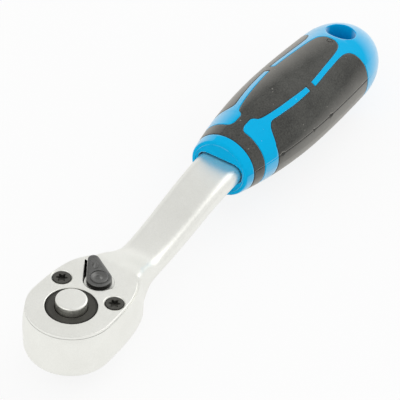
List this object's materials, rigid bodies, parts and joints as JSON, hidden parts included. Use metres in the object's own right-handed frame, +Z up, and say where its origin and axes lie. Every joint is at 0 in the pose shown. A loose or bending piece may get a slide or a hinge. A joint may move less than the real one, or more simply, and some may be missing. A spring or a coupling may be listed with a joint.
{
  "type": "reversible ratchet",
  "caption": "Reversible ratchet handle with a quick-release drive square, a thumb reversing lever, a cranked steel shank and a moulded two-colour grip with a hang hole.",
  "frame": {"origin": "centre of the drive square's end face", "axes": "+X along the handle, +Z up the drive axis towards the release button, +Y to the left seen from the head with the button up"},
  "size_m": [0.2007, 0.0332, 0.0406],
  "materials": {
    "satin_chrome": "satin chrome plate",
    "black_steel": "black phosphated steel",
    "gunmetal": "dark nickel plate",
    "spring_steel": "bright spring steel",
    "blue_plastic": "satin moulded polypropylene",
    "grey_rubber": "fine-grained soft overmould"
  },
  "bodies": {
    "frame": {"ratchet_body": "satin_chrome", "cover_plate": "satin_chrome", "cover_screw_left": "black_steel", "cover_screw_right": "black_steel", "gear_washer": "spring_steel", "handle_core": "blue_plastic", "grip_overmould": "grey_rubber"},
    "drive": {"drive_gear": "black_steel", "button_snap_ring": "spring_steel", "button_spring": "spring_steel"},
    "button": {"release_button": "satin_chrome"},
    "ball": {"socket_ball": "spring_steel"},
    "lever": {"reversing_lever": "gunmetal", "lever_spindle": "gunmetal", "pawl_spring": "spring_steel"},
    "plunger": {"pawl_plunger": "spring_steel"},
    "rocker": {"pawl": "spring_steel"}
  },
  "joints": [
    {"name": "drive_spin", "type": "hinge", "parent": "frame", "child": "drive", "pos_m": [0, 0, 0], "axis": [0, 0, 1], "continuous": true},
    {"name": "button_press", "type": "slide", "parent": "drive", "child": "button", "axis": [0, 0, -1], "range_m": [0, 0.002], "stiffness_N_per_m": 600, "springref_m": -0.003, "deforming": ["button_spring"]},
    {"name": "ball_slide", "type": "slide", "parent": "drive", "child": "ball", "axis": [-1, 0, 0], "range_m": [0, 0.00065]},
    {"name": "lever_turn", "type": "hinge", "parent": "frame", "child": "lever", "pos_m": [0.0154, 0, 0], "axis": [0, 0, 1], "range_deg": [-93, 0]},
    {"name": "pawl_rock", "type": "hinge", "parent": "frame", "child": "rocker", "pos_m": [0.0154, 0, 0], "axis": [0, 0, 1], "range_deg": [0, 7]},
    {"name": "plunger_slide", "type": "slide", "parent": "lever", "child": "plunger", "axis": [0.6884, 0.7254, 0], "range_m": [0, 0.0004], "stiffness_N_per_m": 300, "springref_m": -0.0004}
  ],
  "couplings": [
    {"joint": "ball_slide", "follows": "button_press", "ratio": 0.325},
    {"joint": "pawl_rock", "follows": "lever_turn", "ratio": -0.075269}
  ]
}
